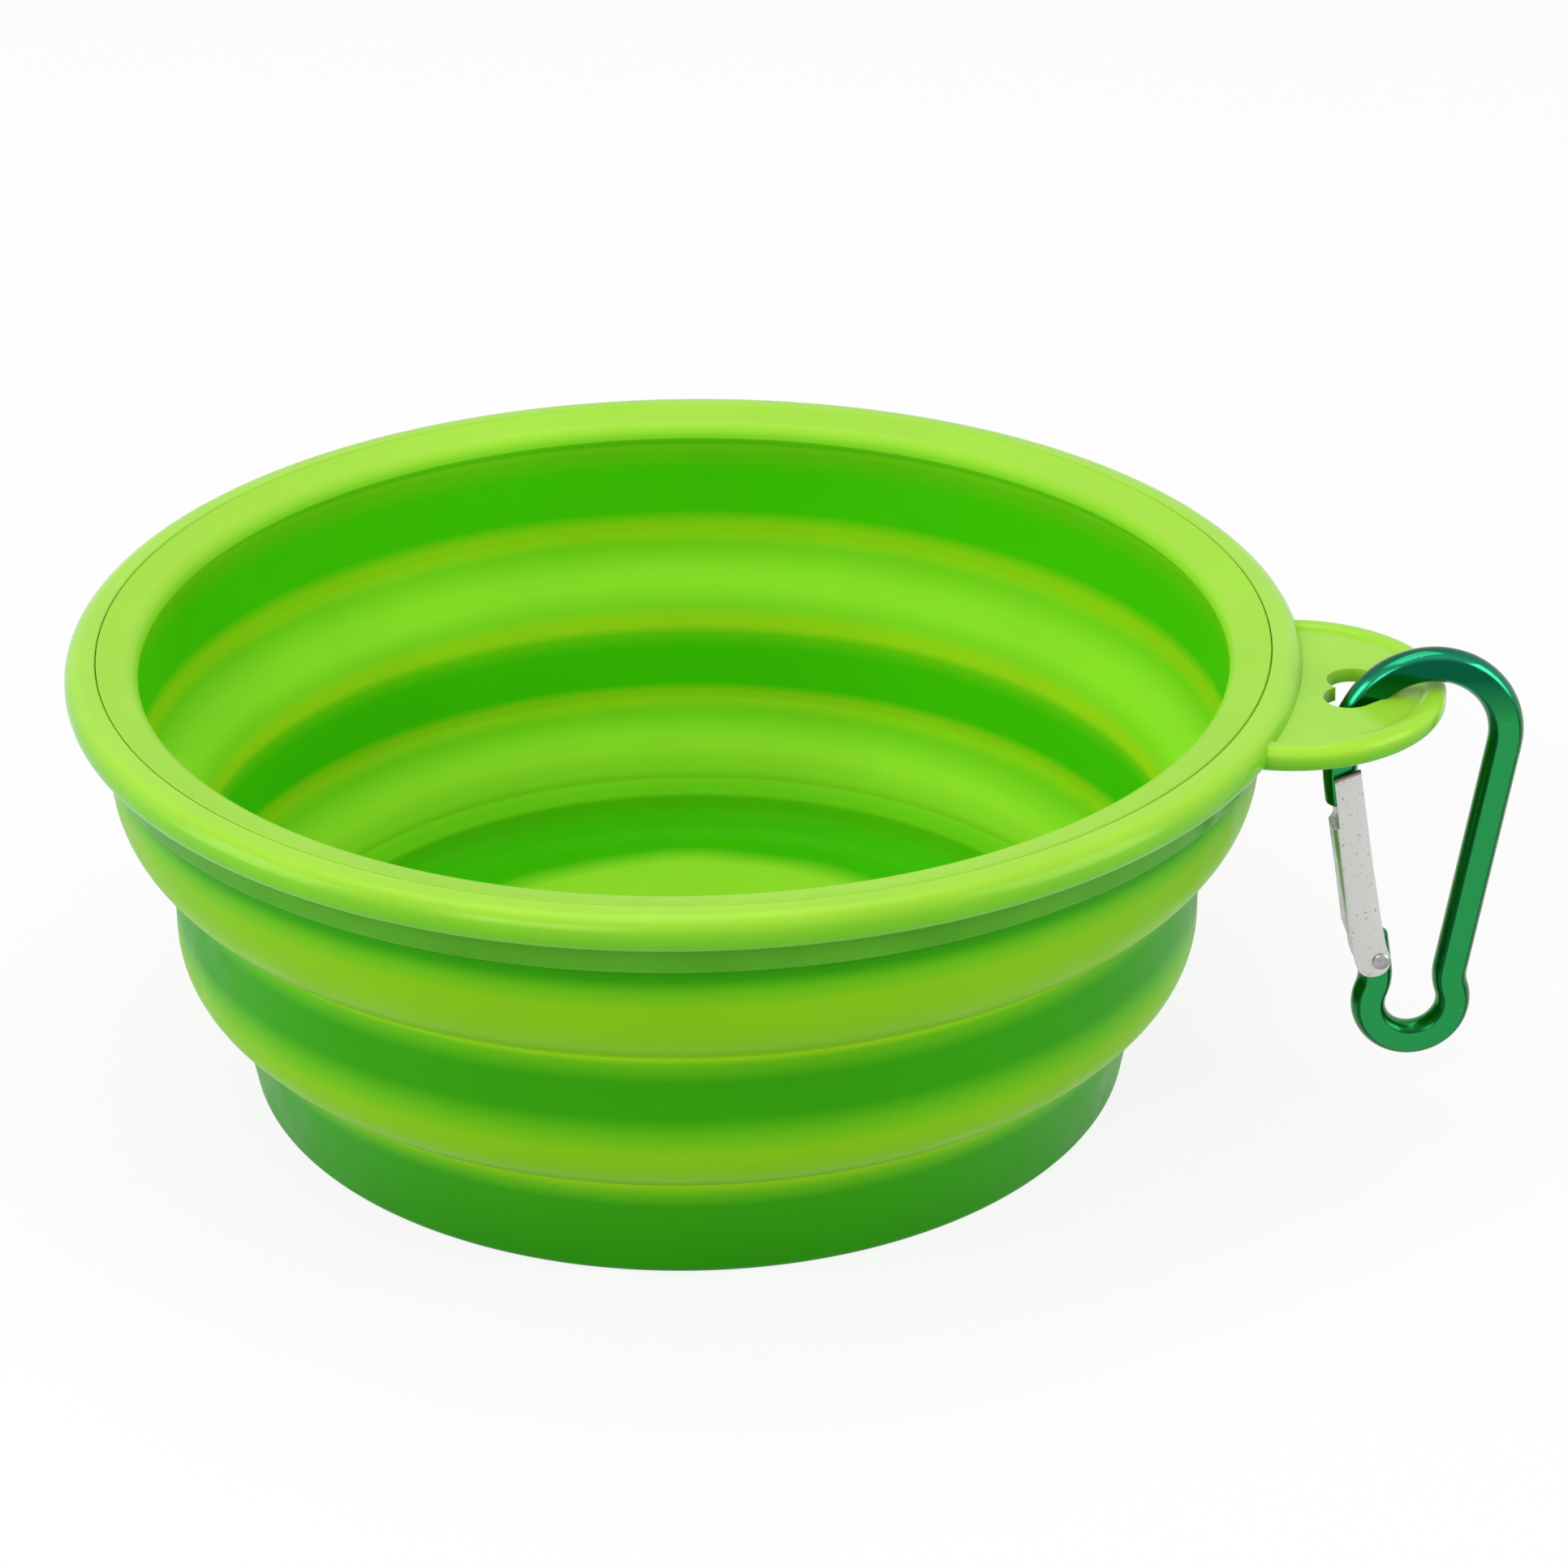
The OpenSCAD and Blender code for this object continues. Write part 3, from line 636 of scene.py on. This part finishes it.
# %% Finish the rings
ring_plastic, tree, shader = new_finish("ring_plastic", (0.33, 0.65, 0.05), 0.2, specular=0.25)
shader.inputs["Specular Tint"].default_value = (0.8, 1.0, 0.5, 1)
# painted shade low on the ring's side and the lug, painted light on top
ring_light_and_shade = colour_ramp(tree, noted(tree, "rim_painted_shade").outputs["Fac"], [
    (0.0, (0.09, 0.38, 0.008)), (1.4, (0.13, 0.44, 0.012)), (2.5, (0.18, 0.49, 0.018)),
    (3.3, (0.26, 0.56, 0.030)), (3.85, (0.33, 0.64, 0.040)), (4.0, (0.33, 0.65, 0.040))], 4.0)
cloud = blend_colours(tree, spread(tree, grain(tree, 60.0), PATCH_LOW, PATCH_HIGH, 0.0, 1.0),
                      (0.93, 0.95, 0.9), (1.0, 1.0, 1.0))
tree.links.new(blend_colours(tree, 1.0, ring_light_and_shade, cloud, "MULTIPLY"), shader.inputs["Base Color"])
tree.links.new(spread(tree, grain(tree, 300.0), GRAIN_LOW, GRAIN_HIGH, 0.16, 0.25),
               shader.inputs["Roughness"])
add_bump(tree, shader, grain(tree, 500.0, 2.0), 0.01 * MM, 0.25)

# darker green: the clamp's plastic with painted shade from the ring above
clamp_plastic, tree, shader = new_finish("clamp_plastic", (0.06, 0.28, 0.008), 0.15, specular=0.15)
tree.links.new(blend_colours(tree, spread(tree, grain(tree, 80.0), PATCH_LOW, PATCH_HIGH, 0.0, 1.0),
                             (0.055, 0.26, 0.006), (0.072, 0.31, 0.009)), shader.inputs["Base Color"])
tree.links.new(spread(tree, grain(tree, 250.0), GRAIN_LOW, GRAIN_HIGH, 0.1, 0.2),
               shader.inputs["Roughness"])
add_bump(tree, shader, grain(tree, 400.0, 2.0), 0.01 * MM, 0.2)

for piece, finish, node, kind in ((ring, ring_plastic, "rim_ring", "rim_plastic"),
                                  (clamp, clamp_plastic, "clamp_ring", "clamp_plastic")):
    piece.data.materials.clear()
    piece.data.materials.append(finish)
    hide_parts(node)
    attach(piece, "rim_tier")
    print(piece.name, "stands for", node)

# %% [markdown]
# ## The carabiner's body
# The body is one aluminium rod, bent on a mandrel and pressed flat on both sides. A curve
# with a bevel would follow the same path, but it is made here the way the bender makes it,
# which keeps every arc true: the rod's section stands at the nose, a spin takes it round
# each bend and a plain extrude along each straight length. It is drawn lying in its own
# plane and hung from the lug at the end. First its sizes, and two helpers for angles.

# %% Sizes of the rod
ROD_D, FLAT_T = 3.6, 2.9
TOP_C, TOP_R = Vector((0.64, -0.04, 0)), 8.05
SIDE_R, SIDE_FROM = 13.4, 147.0
LOW_C, LOW_R, WAIST_R = Vector((0.60, -31.22, 0)), 4.5, 5.0
NOSE_L, NOSE_SLANT, SPINE_SLANT, GATE_SLANT = 2.5, 8.1, 8.7, 9.3
TONGUE_FOOT, TONGUE_PAST_HINGE = Vector((-3.37, -27.293, 0)), 2.5
HINGE = Vector((-3.1907, -25.447, 0))
LINE_L, SECTION_EDGE_R, END_EDGE = 20, 0.3, 0.35
HANG = (Matrix.Translation(Vector((77.5, 0.2, 44.0)) * MM)
        @ Matrix.Rotation(math.radians(14.5), 4, "Z") @ Matrix.Rotation(math.radians(90), 4, "X"))


def polar(radius, angle):
    turn = math.radians(angle)
    return Vector((radius * math.cos(turn), radius * math.sin(turn), 0))


def facing(vector):
    return math.degrees(math.atan2(vector.y, vector.x))


print("rod", ROD_D, "mm thick, pressed to", FLAT_T, "mm")

# %% [markdown]
# The small bend at the foot meets each straight side in a waist, an arc that curves the
# other way. Its centre isn't chosen: it follows from the straight side and the small bend
# that the arc has to touch.

# %% Work out the rod's path
def waist_centre(start, direction, out):
    """Centre of a bend that touches a straight length and the small bend from outside."""
    base = start + WAIST_R * out
    rel = base - LOW_C
    b, c = rel.dot(direction), rel.length_squared - (LOW_R + WAIST_R) ** 2
    return base + (-b - math.sqrt(b * b - c)) * direction


side_centre = TOP_C - polar(SIDE_R - TOP_R, SIDE_FROM)
nose_way = polar(1, NOSE_SLANT - 90)
nose_top = side_centre - polar(SIDE_R, NOSE_SLANT)
spine_top = TOP_C + polar(TOP_R, -SPINE_SLANT)
spine_waist = waist_centre(spine_top, polar(1, -90 - SPINE_SLANT), polar(1, -SPINE_SLANT))
gate_waist = waist_centre(TONGUE_FOOT + polar(LINE_L, 90 + GATE_SLANT), polar(1, GATE_SLANT - 90),
                          polar(1, 180 + GATE_SLANT))
low_from, low_to = facing(spine_waist - LOW_C), facing(gate_waist - LOW_C) - 360
spine_end = spine_waist + polar(WAIST_R, 180 - SPINE_SLANT)
tongue_foot = gate_waist + polar(WAIST_R, GATE_SLANT)
tongue_top = HINGE + polar(1, 90 + GATE_SLANT) * TONGUE_PAST_HINGE
tongue_l = (tongue_top - tongue_foot).dot(polar(1, 90 + GATE_SLANT))
print("waists at", [[round(c, 2) for c in w[:2]] for w in (spine_waist, gate_waist)])

# %% [markdown]
# The section is a circle with two flats, and its corners are eased. Bends and straight
# lengths then follow each other from the nose, over the top, down the spine, round the foot
# and up into the tongue that the gate turns on.

# %% Bend the rod
def bend(centre, start, end, steps):
    """Takes the selected section round a centre, between two angles in degrees."""
    bpy.ops.mesh.spin(steps=steps, angle=math.radians(start - end),
                      center=centre * MM, axis=(0, 0, 1))


def straight(vector):
    bpy.ops.mesh.extrude_region_move(TRANSFORM_OT_translate={"value": vector * MM})


corner = math.degrees(math.asin(FLAT_T / ROD_D))
section = ease_corners(
    [(0, FLAT_T / 2)] + arc_points((0, 0), ROD_D / 2, 180 - corner, 180 + corner, 8)
    + arc_points((0, 0), ROD_D / 2, -corner, corner, 8) + [(0, FLAT_T / 2)], SECTION_EDGE_R)
left = polar(1, 180 + NOSE_SLANT)
start = nose_top + NOSE_L * nose_way
rod = draw_wire("rod", [(start + q * left + Vector((0, 0, w))) * MM for q, w in section])
straight(-NOSE_L * nose_way)
bend(side_centre, 180 + NOSE_SLANT, SIDE_FROM, 10)
bend(TOP_C, SIDE_FROM, -SPINE_SLANT, 36)
straight(spine_end - spine_top)
bend(spine_waist, 180 - SPINE_SLANT, low_from + 180, 8)
bend(LOW_C, low_from, low_to, 44)
bend(gate_waist, low_to + 180, GATE_SLANT, 8)
straight(tongue_l * polar(1, 90 + GATE_SLANT))
print("tongue", round(tongue_l, 2), "mm long")

# %% [markdown]
# What is left is the two open ends. To work on one part of a mesh, its faces or edges are
# picked by a test, such as their number of corners or their place, because there is no
# mouse here to pick them with. The ends are filled, and their rims get a small bevel.

# %% Close the rod's ends
def select_where(obj, test, kind="VERT"):
    """In edit mode, selects only the vertices, edges or faces that pass the test."""
    bpy.ops.mesh.select_mode(type=kind)
    bpy.ops.mesh.select_all(action="DESELECT")
    bpy.ops.object.mode_set(mode="OBJECT")
    items = {"VERT": obj.data.vertices, "EDGE": obj.data.edges, "FACE": obj.data.polygons}[kind]
    for item in items:
        item.select = bool(test(item))
    bpy.ops.object.mode_set(mode="EDIT")


bpy.ops.mesh.select_all(action="SELECT")
bpy.ops.mesh.remove_doubles(threshold=MERGE)
bpy.ops.mesh.fill_holes(sides=0)
select_where(rod, lambda face: len(face.vertices) > 8, "FACE")
bpy.ops.mesh.region_to_loop()
bpy.ops.mesh.bevel(offset=END_EDGE * MM, segments=3)
tidy_shell(rod, crease=50)
print("rod", len(rod.data.polygons), "faces")

# %% [markdown]
# The pressed flats are a clear satin green, and the large bend is glossier. Round the rod
# the colour carries painted reflections: the round sides are painted darker, the edges
# beside the flats a nearly black painted reflection, and the large bend a darker painted
# reflection with a lighter painted streak. As with the bowl, the mesh notes how far each
# vertex lies from the middle plane and how high.

# %% Finish and hang the rod
ROD_LOW, ROD_SPAN = -40, 52
layer = rod.data.attributes.new("rod_place", "FLOAT_COLOR", "POINT")
for vertex, entry in zip(rod.data.vertices, layer.data):
    entry.color = (abs(vertex.co.z) / MM / (FLAT_T / 2), (vertex.co.y / MM - ROD_LOW) / ROD_SPAN, 0, 1)
place_mesh(rod, HANG)

anodised, tree, shader = new_finish("anodised", (0.02, 0.28, 0.07), 0.24, metallic=1.0)
note = noted_parts(tree, "rod_place")
# flat satin green; the round sides are painted darker as a reflection
FLAT_GREEN, PAINTED_ROUND_REFLECTION = (0.022, 0.29, 0.075), (0.010, 0.19, 0.035)
# nearly black painted reflection for the edges; mint for scratches and painted glints
PAINTED_EDGE_REFLECTION, SCRATCH_AND_GLINT_GREEN = (0.005, 0.09, 0.028), (0.10, 0.50, 0.30)
# painted reflections across the straight rod
body_painted_reflection = colour_ramp(tree, note["Red"], [
    (0.0, PAINTED_ROUND_REFLECTION), (0.7, PAINTED_ROUND_REFLECTION), (0.90, PAINTED_EDGE_REFLECTION), (0.96, PAINTED_EDGE_REFLECTION),
    (0.985, FLAT_GREEN), (1.0, FLAT_GREEN)], 1.0)
# the large bend: a darker painted reflection with a lighter painted streak
bend_painted_reflection = colour_ramp(tree, note["Red"], [
    (0.0, (0.003, 0.10, 0.040)), (0.55, (0.010, 0.20, 0.100)), (0.85, (0.020, 0.28, 0.150)),
    (0.97, (0.006, 0.13, 0.060)), (1.0, (0.003, 0.10, 0.045))], 1.0)
top_share = spread(tree, note["Green"], 0.80, 0.90, 0.0, 1.0)
# fine mint marks: partly scratches, partly painted glints
scratch_and_glint = spread(tree, grain(tree, 1300.0, 4.0, 0.7), 0.66, 0.72, 0.0, 0.5)
tone = blend_colours(tree, top_share, body_painted_reflection, bend_painted_reflection)
tree.links.new(blend_colours(tree, scratch_and_glint, tone, SCRATCH_AND_GLINT_GREEN), shader.inputs["Base Color"])
satin = spread(tree, grain(tree, 700.0), GRAIN_LOW, GRAIN_HIGH, 0.20, 0.30)
gloss = maths(tree, "SUBTRACT", satin, spread(tree, top_share, 0.0, 1.0, 0.0, 0.10))
tree.links.new(gloss, shader.inputs["Roughness"])
add_bump(tree, shader, grain(tree, 1500.0, 2.0), 0.006 * MM, 0.3)
rod.data.materials.append(anodised)
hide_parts("carabiner_body")
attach(rod, "carabiner")
print("rod hangs at", [round(c / MM, 1) for c in HANG.translation])

# %% [markdown]
# ## The gate
# The gate is pressed from thin sheet: one flat blank with two long cheeks, folded along two
# lines so that it closes over the rod's tongue like a channel. A box with an open side
# would come close, but not show the sheet's rounded folds. So one cheek is drawn as a flat
# outline and copied to the other side, the back is bridged between their edges, and a
# bevel on the two fold lines gives the bend.

# %% Fold the gate
SHEET_T, CHEEK_Z = 0.45, 1.775
BACK_X, BACK_LOW, BACK_TOP = -2.90, 3.8, 16.1
FOLD_EDGE, BURR, LONG = 0.85, 0.09, 5
TAB_PLACE, TAB_SIZE = (-0.65, 7.95, 0), (2.2, 0.45, 3.1)
CUT_SLOPE, GATE_SPAN = 0.21, 24
cheek = ([(BACK_X, BACK_TOP), (BACK_X, BACK_LOW), (-2.66, 3.4), (-2.72, 1.0)]
         + bend_curve((-2.72, 1.0), (-2.72, -1.72), (-0.8, -1.72), 8)[1:]
         + bend_curve((-0.8, -1.72), (1.05, -1.72), (1.0, 0.4), 8)[1:]
         + [(0.78, 1.6), (0.56, 5.0), (0.42, 11.4), (0.39, 22.7), (-2.44, 22.1), (-2.5, 16.5)])
gate = draw_wire("gate", [Vector((x, y, CHEEK_Z)) * MM for x, y in cheek + cheek[:1]])
bpy.ops.mesh.edge_face_add()
bpy.ops.mesh.duplicate()
bpy.ops.transform.translate(value=(0, 0, -2 * CHEEK_Z * MM))


def on_fold(edge):
    ends = [gate.data.vertices[i].co / MM for i in edge.vertices]
    return all(abs(e.x - BACK_X) < 1e-3 for e in ends) and abs(ends[0].y - ends[1].y) > LONG


select_where(gate, on_fold, "EDGE")
bpy.ops.mesh.bridge_edge_loops()
select_where(gate, on_fold, "EDGE")
bpy.ops.mesh.bevel(offset=FOLD_EDGE * MM, segments=6)
tidy_shell(gate, crease=30)
print("folded blank", len(gate.data.polygons), "faces")

# %% [markdown]
# Solidify gives the sheet its thickness, a fine bevel takes off the burr, and a small tab
# between the cheeks is what the spring pushes on. The gate also notes how high each vertex
# lies, for the brown line at its top, before it is hung on its hinge.

# %% Thicken and hang the gate
sheet = gate.modifiers.new("sheet", "SOLIDIFY")
sheet.thickness, sheet.offset = SHEET_T * MM, 0.0
bpy.ops.object.modifier_apply(modifier=sheet.name)
soften(gate, BURR, 50, 2)
tidy_shell(gate, crease=40)
bpy.ops.mesh.primitive_cube_add(size=1, location=Vector(TAB_PLACE) * MM)
tab = bpy.context.object
tab.scale = Vector(TAB_SIZE) * MM
work_on(tab)
bpy.ops.object.transform_apply(location=True, rotation=True, scale=True)
work_on(gate)
tab.select_set(True)
bpy.ops.object.join()
layer = gate.data.attributes.new("gate_height", "FLOAT", "POINT")
for vertex, entry in zip(gate.data.vertices, layer.data):
    entry.value = (vertex.co.y - CUT_SLOPE * vertex.co.x) / MM / GATE_SPAN
gate_place = (HANG @ Matrix.Translation(HINGE * MM)
              @ Matrix.Rotation(math.radians(GATE_SLANT), 4, "Z"))
place_mesh(gate, gate_place)
print("gate", len(gate.data.polygons), "faces")

# %% [markdown]
# The rivet is a short pin whose two ends have been set into low domes. Each dome is a
# sphere squashed along the pin.

# %% Set the rivet
PIN_R, PIN_L, HEAD_R, HEAD_SQUASH = 0.7, 4.0, 0.95, 0.37
bpy.ops.mesh.primitive_cylinder_add(vertices=32, radius=PIN_R * MM, depth=PIN_L * MM)
rivet = bpy.context.object
rivet.name = rivet.data.name = "rivet"
for side in (-1, 1):
    bpy.ops.mesh.primitive_uv_sphere_add(segments=32, ring_count=16, radius=HEAD_R * MM,
                                         location=(0, 0, side * PIN_L / 2 * MM))
    head = bpy.context.object
    head.scale = (1, 1, HEAD_SQUASH)
    work_on(head)
    bpy.ops.object.transform_apply(location=True, rotation=True, scale=True)
    work_on(rivet)
    head.select_set(True)
    bpy.ops.object.join()
tidy_shell(rivet, crease=40)
place_mesh(rivet, gate_place)
print("rivet", len(rivet.data.polygons), "faces")

# %% [markdown]
# The sheet is a pale satin metal with fine scratches and a few dark specks, and a brown
# line along its top edge. The rivet is a darker, harder steel.

# %% Finish the gate and the rivet
sheet_steel, tree, shader = new_finish("sheet_steel", (0.62, 0.62, 0.60), 0.34, metallic=0.8)
specks = spread(tree, grain(tree, 2600.0, 4.0, 0.7), 0.33, 0.39, 1.0, 0.0)
dull = blend_colours(tree, specks, (0.60, 0.60, 0.585), (0.20, 0.20, 0.19))
edge = spread(tree, noted(tree, "gate_height").outputs["Fac"], 0.925, 0.935, 0.0, 0.8)
tree.links.new(blend_colours(tree, edge, dull, (0.10, 0.05, 0.02)), shader.inputs["Base Color"])
tree.links.new(spread(tree, grain(tree, 900.0), GRAIN_LOW, GRAIN_HIGH, 0.28, 0.46),
               shader.inputs["Roughness"])
add_bump(tree, shader, grain(tree, 1800.0, 3.0), 0.02 * MM, 0.5)
rivet_steel, tree, shader = new_finish("rivet_steel", (0.4, 0.4, 0.39), 0.28, metallic=1.0)
tree.links.new(blend_colours(tree, spread(tree, grain(tree, 1200.0), PATCH_LOW, PATCH_HIGH, 0.0, 1.0),
                             (0.30, 0.30, 0.29), (0.48, 0.48, 0.47)), shader.inputs["Base Color"])
add_bump(tree, shader, grain(tree, 1500.0, 3.0), 0.02 * MM, 0.5)
for piece, finish, node in ((gate, sheet_steel, "carabiner_gate"),
                            (rivet, rivet_steel, "gate_rivet")):
    piece.data.materials.append(finish)
    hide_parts(node)
    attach(piece, "gate")
    print(piece.name, "stands for", node)

# %% [markdown]
# The spring inside the gate is hard to see and was packed with all its turns, so the frame's
# own mesh stays, with a plain wire finish in place of the frame's flat grey.

# %% Finish the spring
spring_steel, tree, shader = new_finish("spring_steel", (0.5, 0.5, 0.49), 0.3, metallic=1.0)
wear = spread(tree, grain(tree, 500.0), GRAIN_LOW, GRAIN_HIGH, 0.0, 1.0)
tree.links.new(blend_colours(tree, wear, (0.42, 0.42, 0.41), (0.56, 0.56, 0.55)),
               shader.inputs["Base Color"])
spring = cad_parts["gate_spring"]
spring.data.materials.clear()
spring.data.materials.append(spring_steel)
print("spring", len(spring.data.polygons), "faces")

# %% [markdown]
# ## Floor, sky and lamps
# The floor is pale and still takes the bowl's shadow, but the camera and the shiny pieces
# see it mostly as plain white. The sky is white to them too, and gives everything else only
# half of that as a soft fill.

# %% Lay the floor and hang the sky
FLOOR_SIDE, FLOOR_WHITE, SKY_FILL = 4, 0.86, 0.5
bpy.ops.object.select_all(action="DESELECT")
bpy.ops.mesh.primitive_plane_add(size=FLOOR_SIDE, location=(0, 0, 0))
floor = bpy.context.object
floor.name = "floor"
floor_finish, tree, shader = new_finish("floor_finish", (0.82, 0.82, 0.82), 0.9, specular=0.1)
seen = tree.nodes.new("ShaderNodeLightPath").outputs
either = maths(tree, "MAXIMUM", seen["Is Camera Ray"], seen["Is Glossy Ray"])
white = add_node(tree, "ShaderNodeEmission", Strength=1.0)
mix = tree.nodes.new("ShaderNodeMixShader")
tree.links.new(maths(tree, "MULTIPLY", either, FLOOR_WHITE), mix.inputs["Fac"])
tree.links.new(shader.outputs["BSDF"], mix.inputs[1])
tree.links.new(white.outputs["Emission"], mix.inputs[2])
tree.links.new(mix.outputs["Shader"], tree.nodes["Material Output"].inputs["Surface"])
floor.data.materials.append(floor_finish)

world = bpy.data.worlds.new("sky")
bpy.context.scene.world = world
world.use_nodes = True
tree = world.node_tree
sky = tree.nodes["Background"]
seen = tree.nodes.new("ShaderNodeLightPath").outputs
either = maths(tree, "MAXIMUM", seen["Is Camera Ray"], seen["Is Glossy Ray"])
plain = maths(tree, "MAXIMUM", either, seen["Is Transmission Ray"])
tree.links.new(spread(tree, plain, 0.0, 1.0, SKY_FILL, 1.0), sky.inputs["Strength"])
sky.inputs["Color"].default_value = (1, 1, 1, 1)
print("floor", FLOOR_SIDE, "m wide, sky fill", SKY_FILL)

# %% [markdown]
# One broad soft lamp hangs above and one stands in front and looks into the bowl. The two
# at the sides give the walls their light edges and the ring its glints. All face a point
# inside the bowl, and they are large, because small lamps would draw hard spots.

# %% Place the lamps
LAMP_TARGET = Vector((0, 0, 0.03))


def add_lamp(name, place, size, power):
    data = bpy.data.lights.new(name, "AREA")
    data.shape, data.size, data.size_y, data.energy = "RECTANGLE", size[0], size[1], power
    lamp = bpy.data.objects.new(name, data)
    bpy.context.scene.collection.objects.link(lamp)
    lamp.location = place
    lamp.rotation_mode = "QUATERNION"
    lamp.rotation_quaternion = (LAMP_TARGET - Vector(place)).to_track_quat("-Z", "Y")
    print(name, power, "W")


add_lamp("lamp_above", (-0.10, 0.10, 0.95), (0.8, 0.6), 3.1)
add_lamp("lamp_left", (-0.85, -0.35, 0.35), (0.5, 0.6), 3.6)
add_lamp("lamp_front", (-0.25, -0.95, 0.60), (0.5, 0.5), 3.9)
add_lamp("lamp_right", (0.85, -0.10, 0.35), (0.5, 0.6), 3.6)
bpy.context.scene.view_settings.view_transform = "Standard"
